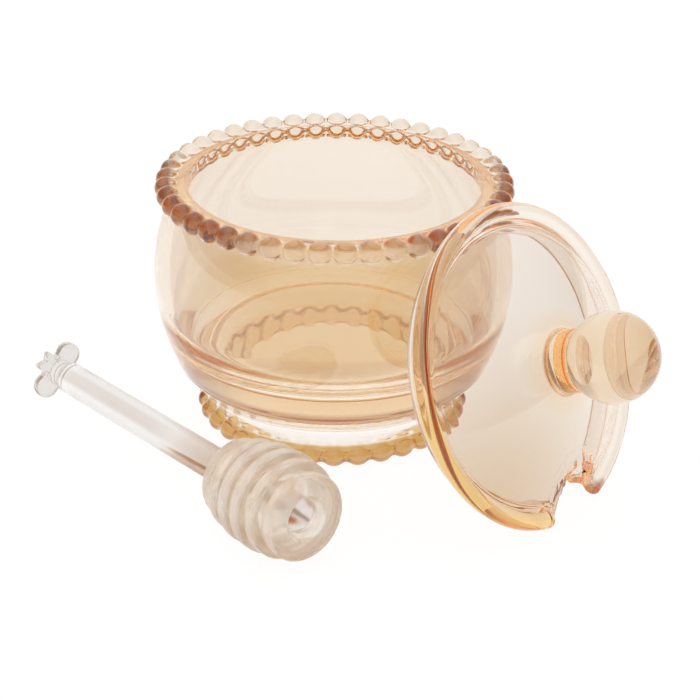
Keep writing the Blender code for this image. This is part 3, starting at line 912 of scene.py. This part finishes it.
@dataclass(frozen=True)
class Lid:
    """The lid: a domed disc with a round edge, a ball knob and a notch for the dipper."""

    radius: float = 47.6 * MM
    flange: float = 2.65 * MM
    groove_inset: float = 4.5 * MM
    groove_height: float = 0.55 * MM
    dome_inset: float = 6.1 * MM
    dome_foot: float = 2.5 * MM
    dome_radius: float = 76.0 * MM
    thickness: float = 3.6 * MM
    ring_outer: float = 43.2 * MM
    ring_width: float = 3.7 * MM
    ring_depth: float = 7.6 * MM
    ring_corner: float = 1.4 * MM
    knob: float = 13.2 * MM
    knob_height: float = 31.3 * MM
    knob_neck: float = 9.2 * MM
    knob_fillet: float = 2.0 * MM
    notch_centre: float = 41.0 * MM
    notch_round: float = 9.6 * MM
    notch_half_turn: float = math.radians(13.5)
    cut_round: float = 1.3 * MM
    cut_steps: int = 37
    # First points of the section, which the notch never reaches
    whole_rows: int = 30
    ring_break: float = 0.4 * MM
    under_corner: Point = (0.6 * MM, 0.9 * MM)

    def dome_centre(self) -> float:
        """Height of the middle of the dome's ball."""
        foot = self.radius - self.dome_inset
        return self.dome_foot - math.sqrt(self.dome_radius**2 - foot**2)

    def dome(self, radius: float) -> float:
        """Height of the dome's top at a radius."""
        return self.dome_centre() + math.sqrt(self.dome_radius**2 - radius**2)

    def outline(self) -> np.ndarray:
        """Section of the lid, from the top of the ball round to the middle of its underside.

        Returns:
            Points as rows of (radius, height), the first and the last on the axis.
        """
        join = -math.degrees(math.acos(self.knob_neck / self.knob))
        across = self.knob_neck + self.knob_fillet
        reach = self.dome_radius + self.knob_fillet
        fillet_height = self.dome_centre() + math.sqrt(reach**2 - across**2)
        lean = math.degrees(math.asin(across / reach))
        join_height = self.knob_height + self.knob * math.sin(math.radians(join))
        rise = max(fillet_height - join_height, 0.0) / self.knob_fillet
        start = 180.0 + math.degrees(math.asin(rise))
        # Ball, neck and dome
        points = arc((0.0, self.knob_height), self.knob, 90.0, join, 26)
        points[0] = (0.0, self.knob_height + self.knob)
        points += arc((across, fillet_height), self.knob_fillet, start, 270.0 - lean, 12)[1:]
        foot = self.radius - self.dome_inset
        for radius in map(float, np.linspace(points[-1][0], foot, 15)[1:]):
            points.append((radius, self.dome(radius)))
        # Groove and flange
        groove = (self.radius - self.groove_inset, self.groove_height)
        points += stretch(points[-1], groove, 4)
        points += arc((self.radius - self.flange, 0.0), self.flange, 150.0, -90.0, 24)
        # Locating ring
        outer = self.ring_outer - self.ring_corner
        inner = self.ring_outer - self.ring_width + self.ring_corner
        level = self.ring_corner - self.ring_depth
        points += stretch(points[-1], (self.ring_outer + self.ring_break, -self.flange), 2)
        top = (self.ring_outer, -self.flange - self.ring_break)
        points += stretch(top, (self.ring_outer, level), 3)
        points += arc((outer, level), self.ring_corner, 0.0, -90.0, 5)[1:]
        points += arc((inner, level), self.ring_corner, -90.0, -180.0, 5)
        # Underside of the dome
        under = self.ring_outer - self.ring_width
        under_radius = self.dome_radius - self.thickness
        inset, drop = self.under_corner
        top = self.dome_centre() + math.sqrt(under_radius**2 - (under - inset) ** 2)
        points += stretch(points[-1], (under, top - drop), 4)
        for radius in map(float, np.linspace(under - inset, 0.0, 16)):
            height = self.dome_centre() + math.sqrt(under_radius**2 - radius**2)
            points.append((radius, height))
        return np.array(points)

    def turns(self) -> np.ndarray:
        """Turns from the notch's middle at which the section is drawn.

        Returns:
            Rising turns, less than one full turn.
        """
        half = self.notch_half_turn
        rounding = self.cut_round / (self.radius - self.flange)
        inside = half * np.sin(np.linspace(-math.pi / 2, math.pi / 2, self.cut_steps))
        lead = half + rounding * (1.0 - np.cos(np.linspace(0.0, math.pi / 2, 8)))
        rest = np.linspace(lead[-1], math.tau - lead[-1], 190)[1:-1]
        return np.concatenate([inside, lead, rest, math.tau - lead[::-1]])

    def section(self, turn: float, cut: bool) -> np.ndarray:
        """The section at a turn from the notch's middle.

        Args:
            turn: Turn from the notch's middle, from 0 to half a turn.
            cut: Whether the notch cuts this section.

        Returns:
            Points as rows of (radius, height).
        """
        points = self.outline()
        inner = self.notch_edge(min(turn, self.notch_half_turn))
        depth = self.cut_round
        beyond = np.nonzero(points[:, 0] > inner - depth)[0]
        beyond = beyond[beyond > self.whole_rows]
        first, last = beyond[0] - 1, beyond[-1] + 1
        if cut:
            part = points[first : last + 1]
            (start, high), (end, low) = part[0].tolist(), part[-1].tolist()
            steps = np.hypot(*np.diff(part, axis=0).T)
            share = np.concatenate([[0.0], np.cumsum(steps)]) / steps.sum()
            rise = np.cos(math.pi * share)
            bulge = (1.0 - np.abs(rise) ** 4) ** 0.5
            base = start + (end - start) * share
            part[:, 0] = base + (inner - base) * bulge
            part[:, 1] = (high + low) / 2 + (high - low) / 2 * rise
            return points
        rounding = self.cut_round / (self.radius - self.flange)
        away = min(max((turn - self.notch_half_turn) / rounding, 0.0), 1.0)
        inset = self.cut_round * (1.0 - math.sqrt(1.0 - (1.0 - away) ** 2))
        if inset > 0.0:
            along = np.gradient(points, axis=0)
            along /= np.maximum(np.linalg.norm(along, axis=1, keepdims=True), 1e-9)
            inward = np.stack([along[:, 1], -along[:, 0]], -1)
            weight = np.clip((points[:, 0] - (inner - depth)) / (2.0 * depth), 0.0, 1.0)
            weight[: self.whole_rows] = 0.0
            points = points + inward * (inset * weight)[:, None]
        return points

    def notch_edge(self, turn: float) -> float:
        """Distance from the axis to the round end of the notch, along a turn.

        Args:
            turn: Turn from the notch's middle.

        Returns:
            The distance.
        """
        side = self.notch_centre * math.sin(turn)
        reach = math.sqrt(max(self.notch_round**2 - side**2, 0.0))
        return self.notch_centre * math.cos(turn) - reach

    def build(self, place: Matrix) -> Item:
        """Makes the lid.

        Args:
            place: The lid's axes in the frame, the notch on its -Y side.

        Returns:
            The lid as one closed piece.
        """
        turns = self.turns()
        columns = []
        for number, turn in enumerate(turns):
            from_middle = abs((turn + math.pi) % math.tau - math.pi)
            radii, heights = self.section(from_middle, number < self.cut_steps)[1:-1].T
            angle = turn - math.pi / 2
            spots = [radii * math.cos(angle), radii * math.sin(angle), heights]
            columns.append(np.stack(spots, -1))
        outline = self.outline()
        tips = np.array([[0.0, 0.0, outline[0, 1]], [0.0, 0.0, outline[-1, 1]]])
        rows, count = len(columns[0]), len(turns)
        top, bottom = count * rows, count * rows + 1
        faces: list[tuple[int, ...]] = []
        for number in range(count):
            here, after = number * rows, (number + 1) % count * rows
            faces.append((top, here, after))
            faces.append((bottom, after + rows - 1, here + rows - 1))
            for row in range(rows - 1):
                faces.append((here + row, here + row + 1, after + row + 1, after + row))
        lid = new_object("lid_glass", np.concatenate([*columns, tips]), faces, place)
        lid.data.materials.append(Finish.LID_GLASS.value.material(place))
        return lid


# Half of the bee's outline from its head: share of a half turn, share of the reach
BEE_HALF = (
    (0.0, 0.70),
    (0.05, 0.77),
    (0.10, 0.86),
    (0.14, 0.75),
    (0.175, 0.56),
    (0.235, 0.62),
    (0.30, 0.85),
    (0.38, 0.97),
    (0.46, 1.00),
    (0.545, 0.95),
    (0.625, 0.79),
    (0.695, 0.57),
    (0.78, 0.59),
    (0.89, 0.69),
    (1.0, 0.73),
)


@dataclass(frozen=True)
class Dipper:
    """The dipper: a clear rod that ends in a bee, in a ribbed milky head."""

    discs: int = 6
    pitch: float = 5.95 * MM
    disc: float = 4.1 * MM
    head: float = 15.4 * MM
    widest: float = 15.9 * MM
    barrel: float = 38.0 * MM
    core: float = 10.4 * MM
    edge_round: float = 1.0 * MM
    hole: float = 6.2 * MM
    hole_depth: float = 3.0 * MM
    hole_lip: float = 0.5 * MM
    hole_break: float = 0.6 * MM
    bore_lip: float = 0.3 * MM
    bore_break: float = 0.4 * MM
    rod: float = 5.0 * MM
    rod_start: float = 1.6 * MM
    nose: float = 3.6 * MM
    length: float = 132.7 * MM
    fit: float = 0.3 * MM
    plate: float = 3.0 * MM
    turned_end: float = 4.2 * MM
    shoulder: float = 1.2 * MM
    rod_end: float = 1.4 * MM
    collar: float = 4.0 * MM
    collar_ring: float = 0.9 * MM
    # Outwards from the collar and along the rod: front edge, groove, middle of the ring, end
    collar_spots: tuple[Point, ...] = (
        (0.0, 0.15 * MM),
        (-0.25 * MM, 0.5 * MM),
        (-0.6 * MM, 1.7 * MM),
        (-0.3 * MM, 2.8 * MM),
    )
    boss: float = 4.4 * MM
    boss_round: float = 0.8 * MM
    boss_drop: float = 0.6 * MM
    boss_edge: float = 0.2 * MM
    boss_flare: float = 0.1 * MM
    bee_reach: float = 10.0 * MM
    bee_turn: float = math.radians(43.5)
    bee_edge: float = 0.8 * MM
    head_turns: int = 128
    rod_turns: int = 72

    def head_outline(self) -> list[Point]:
        """Section of the ribbed head, from the hole's edge, round, and back through the bore.

        Returns:
            Points as (radius, height).
        """
        points = [(self.hole + self.hole_lip, 0.0)]
        for number in range(self.discs):
            front = number * self.pitch
            back = front + self.disc
            reach = self.head - ((front + back) / 2 - self.widest) ** 2 / (2 * self.barrel)
            start = (reach - self.edge_round, front + self.edge_round)
            end = (reach - self.edge_round, back - self.edge_round)
            if number:
                groove = (front + points[-1][1]) / 2
                half = (front - points[-1][1]) / 2
                points += arc((self.core + half, groove), half, -90.0, -270.0, 6)
            points += stretch(points[-1], (start[0], front), 3)
            points += arc(start, self.edge_round, -90.0, 0.0, 6)[1:]
            points += arc(end, self.edge_round, 0.0, 90.0, 6)
        # Back face, bore and hole
        bore, edge = self.rod + self.fit, self.bore_break
        length = points[-1][1]
        points += stretch(points[-1], (bore + edge, length), 5)
        points += stretch((bore, length - edge), (bore, self.hole_depth + edge), 6)
        bottom = (self.hole, self.hole_depth - self.hole_break)
        points += stretch((bore + self.bore_lip, self.hole_depth), bottom, 2)
        return points + stretch(points[-1], (self.hole, self.hole_break), 2)

    def rod_outline(self) -> list[Point]:
        """Section of the rod, from its round nose to the rings behind the bee.

        Returns:
            Points as (radius, height).
        """
        face = self.length - self.plate
        start = face - self.turned_end
        shoulder = (self.rod - self.shoulder, start - self.shoulder)
        spots = [(self.collar + out, start + along) for out, along in self.collar_spots]
        edge, groove, ring, end = spots
        boss = (self.boss - self.boss_round, face - self.boss_drop)
        points = arc((self.rod - self.nose, self.rod_start + self.nose), self.nose, -90.0, 0.0, 14)
        points += stretch(points[-1], (self.rod, start - self.rod_end), 24)
        points += arc(shoulder, self.shoulder, 8.0, 78.0, 5)
        points += [edge, groove, *arc(ring, self.collar_ring, -70.0, 70.0, 6), end]
        points += arc(boss, self.boss_round, -60.0, 40.0, 5)
        return points + [(self.boss, face - self.boss_edge), (self.boss + self.boss_flare, face)]

    def bee_outline(self, steps: int) -> tuple[np.ndarray, np.ndarray, np.ndarray]:
        """Outline of the bee round the rod's axis.

        Args:
            steps: Points between one knot of the outline and the next.

        Returns:
            Rising turns, the outline's distance from the axis at each, and how far a
            slanting stretch of it moves for each part that its edge is set in.
        """
        knots = [(turn * math.pi, reach) for turn, reach in BEE_HALF]
        knots += [((2.0 - turn) * math.pi, reach) for turn, reach in BEE_HALF[-2:0:-1]]
        turns = np.array([k[0] for k in knots] + [math.tau])
        reach = np.array([k[1] for k in knots] + [knots[0][1]])
        slopes = (np.roll(reach[:-1], -1) - np.roll(reach[:-1], 1)) / 2
        slopes = np.append(slopes, slopes[0])
        found_turns, found_reach = [], []
        shares = np.arange(steps) / steps
        for i, rise in enumerate(np.diff(reach)):
            bend = 3 * rise - 2 * slopes[i] - slopes[i + 1]
            twist = slopes[i] + slopes[i + 1] - 2 * rise
            curve = reach[i] + shares * (slopes[i] + shares * (bend + shares * twist))
            found_reach.append(self.bee_reach * curve)
            found_turns.append(turns[i] + (turns[i + 1] - turns[i]) * shares)
        azimuths = (math.pi / 2 - np.concatenate(found_turns) - self.bee_turn) % math.tau
        order = np.argsort(azimuths)
        azimuths, distances = azimuths[order], np.concatenate(found_reach)[order]
        spread = (np.roll(azimuths, -1) - np.roll(azimuths, 1)) % math.tau
        slant = (np.roll(distances, -1) - np.roll(distances, 1)) / spread / distances
        return azimuths, distances, np.sqrt(1.0 + slant**2)

    def build_head(self, place: Matrix) -> Item:
        """Makes the ribbed head.

        Args:
            place: The dipper's axes in the frame.

        Returns:
            The head as one closed piece.
        """
        turns = np.arange(self.head_turns) * math.tau / self.head_turns
        skin = Skin()
        for radius, height in self.head_outline():
            skin.ring(turns, radius, height)
        skin.close()
        head = skin.mesh("dipper_ribbed_head", place)
        head.data.materials.append(Finish.MILKY_PLASTIC.value.material(place))
        return head

    def build_rod(self, place: Matrix) -> Item:
        """Makes the clear rod with the bee at its end, in one piece.

        Args:
            place: The dipper's axes in the frame.

        Returns:
            The rod as one closed piece.
        """
        turns = np.arange(self.rod_turns) * math.tau / self.rod_turns
        skin = Skin()
        skin.tip(self.rod_start)
        for radius, height in self.rod_outline():
            skin.ring(turns, radius, height)
        azimuths, distances, slant = self.bee_outline(5)
        face = self.length - self.plate
        skin.ring(azimuths, self.boss + (distances - self.boss) * 0.5, face)
        edge = self.bee_edge
        for angle in np.radians(np.linspace(-90.0, 90.0, 9)):
            inset = edge * (1.0 - math.cos(angle)) * slant
            near = face + edge if angle < 0.0 else self.length - edge
            skin.ring(azimuths, distances - inset, near + edge * math.sin(angle))
        skin.ring(azimuths, distances * 0.5, self.length)
        skin.tip(self.length)
        rod = skin.mesh("dipper_rod_and_bee", place)
        rod.data.materials.append(Finish.CLEAR_PLASTIC.value.material(place))
        return rod


@dataclass(frozen=True)
class Studio:
    """Table, surround, lamps and camera, all placed from the pot."""

    pot_axis: Vector
    rim_height: float
    table_reach: float = 3.0
    table_glow: float = 0.93
    dark_side: Colour = (0.40, 0.27, 0.18)
    front_wall: Colour = (0.86, 0.80, 0.74)
    lamp_aim: float = 40.0 * MM
    eye: Vector = Vector((0.0, -558.78 * MM, 232.34 * MM))
    aim: Vector = Vector((5.436 * MM, 0.0, -57.253 * MM))
    roll: float = math.radians(0.887)
    lens: float = 101.37

    def table(self) -> None:
        """A wide pale table that keeps the pieces' soft shadow."""
        corners = np.array([(-1, -1, 0), (1, -1, 0), (1, 1, 0), (-1, 1, 0)]) * self.table_reach
        table = new_object("table_top", corners, [(0, 1, 2, 3)], Matrix.Identity(4))
        n = Nodes(bpy.data.materials.new("white_table"), "OutputMaterial")
        shader = n.add("BsdfPrincipled", Roughness=0.6)
        pale = n.add("Mix", n.noise(4.0, 2.0), data_type="RGBA")
        pale.inputs[6].default_value = (0.88, 0.88, 0.88, 1.0)
        pale.inputs[7].default_value = (0.90, 0.90, 0.90, 1.0)
        n.link(pale.outputs[2], shader.inputs["Base Color"])
        glow = n.add("Emission", Color=(1.0, 1.0, 1.0, 1.0), Strength=1.0)
        path = n.add("LightPath").outputs
        seen = n.math("MAXIMUM", path["Is Camera Ray"], path["Is Transmission Ray"])
        seen = n.math("MAXIMUM", seen, path["Is Glossy Ray"])
        surface = n.either(n.math("MULTIPLY", seen, self.table_glow), shader, glow)
        n.link(surface.outputs[0], n.output.inputs["Surface"])
        table.data.materials.append(n.owner)

    def surround(self) -> None:
        """A white surround, brown at its far sides and a little dimmer in front."""
        world = bpy.data.worlds.new("studio")
        bpy.context.scene.world = world
        n = Nodes(world, "OutputWorld")
        parts = n.add("SeparateXYZ", n.add("TexCoord").outputs["Generated"]).outputs
        ramp = n.add("ValToRGB", n.math("ABSOLUTE", parts["X"]))
        white = (1.0, 1.0, 1.0, 1.0)
        sides = ((0.35, white), (0.85, (*self.dark_side, 1.0)))
        for element, (position, colour) in zip(ramp.color_ramp.elements, sides):
            element.position, element.color = position, colour
        front = n.carry(parts["Y"], From_Min=-0.35, From_Max=-0.90)
        room = n.stain(front, ramp.outputs[0], self.front_wall, "MIX")
        light = n.add("Background", room, Strength=1.0)
        backdrop = n.add("Background", Color=white, Strength=1.0)
        camera_ray = n.add("LightPath").outputs["Is Camera Ray"]
        surface = n.either(camera_ray, light, backdrop)
        n.link(surface.outputs[0], n.output.inputs["Surface"])

    def lamp(self, name: str, spot: tuple[float, float, float], size: Point, power: float) -> None:
        """A soft rectangular lamp that looks at the pot.

        Args:
            name: Name of the lamp.
            spot: Where the lamp hangs, from the pot's axis on the table.
            size: Its width and height.
            power: Its power in watts.
        """
        data = bpy.data.lights.new(name, "AREA")
        data.shape = "RECTANGLE"
        data.size, data.size_y = size
        data.energy = power
        item = bpy.data.objects.new(name, data)
        item.visible_glossy = False
        item.visible_transmission = False
        bpy.context.scene.collection.objects.link(item)
        item.location = self.pot_axis + Vector(spot)
        aim = self.pot_axis + Vector((0.0, 0.0, self.lamp_aim)) - item.location
        item.rotation_euler = aim.to_track_quat("-Z", "Y").to_euler()

    def camera(self) -> None:
        """The camera at the photograph's angle."""
        centre = self.pot_axis + Vector((0.0, 0.0, self.rim_height))
        eye = centre + self.eye
        ahead = (centre + self.aim - eye).normalized()
        right = ahead.cross(Vector((0.0, 0.0, 1.0))).normalized()
        up = right.cross(ahead)
        level = right * math.cos(self.roll) + up * math.sin(self.roll)
        top = up * math.cos(self.roll) - right * math.sin(self.roll)
        turn = Matrix((level, top, -ahead)).transposed()
        data = bpy.data.cameras.new("camera")
        data.lens = self.lens
        data.sensor_width = 36.0
        data.sensor_fit = "HORIZONTAL"
        data.clip_start = 0.01
        item = bpy.data.objects.new("camera", data)
        bpy.context.scene.collection.objects.link(item)
        item.matrix_world = Matrix.Translation(eye) @ turn.to_4x4()
        bpy.context.scene.camera = item

    def build(self) -> None:
        """Sets up the whole studio."""
        self.table()
        self.surround()
        self.lamp("left_window", (-0.9, -0.35, 0.55), (0.35, 0.9), 7.0)
        self.lamp("top_box", (0.1, 0.1, 1.2), (0.8, 0.8), 8.0)
        self.camera()
        bpy.context.scene.view_settings.view_transform = "Standard"


@dataclass(frozen=True)
class Arrangement:
    """Places of the pieces, from the pot's axis."""

    pot_axis: Vector
    lid_centre: Vector = Vector((56.10 * MM, -55.30 * MM, 42.77 * MM))
    lid_tilt: float = math.radians(66.2)
    lid_azimuth: float = math.radians(-40.0)
    notch_turn: float = math.radians(1.0)
    dipper_front: Vector = Vector((-6.60 * MM, -97.80 * MM, 16.55 * MM))
    dipper_azimuth: float = math.radians(128.8)
    dipper_slope: float = math.radians(3.9)

    def pot(self) -> Matrix:
        """The pot's axes."""
        return Matrix.Translation(self.pot_axis)

    def lid(self) -> Matrix:
        """The leaning lid's axes, its knob along Z and its notch along -Y.

        Returns:
            The lid's place in the frame.
        """
        outward = Vector((math.cos(self.lid_azimuth), math.sin(self.lid_azimuth), 0.0))
        up = Vector((0.0, 0.0, 1.0))
        normal = outward * math.sin(self.lid_tilt) + up * math.cos(self.lid_tilt)
        downhill = outward * math.cos(self.lid_tilt) - up * math.sin(self.lid_tilt)
        notch = downhill * math.cos(self.notch_turn)
        notch += normal.cross(downhill) * math.sin(self.notch_turn)
        turn = Matrix((notch.cross(normal) * -1, -notch, normal)).transposed()
        return Matrix.Translation(self.pot_axis + self.lid_centre) @ turn.to_4x4()

    def dipper(self) -> Matrix:
        """The dipper's axes, its rod along Z from the head's front.

        Returns:
            The dipper's place in the frame.
        """
        level = Vector((math.cos(self.dipper_azimuth), math.sin(self.dipper_azimuth), 0.0))
        drop = Vector((0.0, 0.0, math.sin(self.dipper_slope)))
        along = level * math.cos(self.dipper_slope) - drop
        sideways = Vector((-level.y, level.x, 0.0))
        turn = Matrix((sideways, along.cross(sideways), along)).transposed()
        return Matrix.Translation(self.pot_axis + self.dipper_front) @ turn.to_4x4()


def dress(piece: Item, body: str, node: str) -> None:
    """Lets a piece stand for a node of the frame and ride on its body.

    Args:
        piece: The finished piece, in place.
        body: Body that the piece rides on.
        node: Node that the piece stands for.
    """
    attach(piece, body)
    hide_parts(node)
    log.info("%s stands for %s with %d faces", piece.name, node, len(piece.data.polygons))


def main() -> None:
    """Makes the pieces in order, then the studio."""
    logging.basicConfig(level=logging.INFO, format="%(name)s: %(message)s")
    low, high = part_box("honey_pot")
    pot_axis = Vector(((low[0] + high[0]) / 2, (low[1] + high[1]) / 2, 0.0))
    places = Arrangement(pot_axis)
    pot, dipper = Pot(), Dipper()
    dress(pot.build(places.pot()), "pot", "honey_pot")
    dress(Lid().build(places.lid()), "lid", "lid")
    dress(dipper.build_rod(places.dipper()), "dipper", "dipper_handle")
    dress(dipper.build_head(places.dipper()), "dipper", "dipper_head")
    Studio(pot_axis, pot.rim_height).build()


if __name__ == "__main__":
    main()
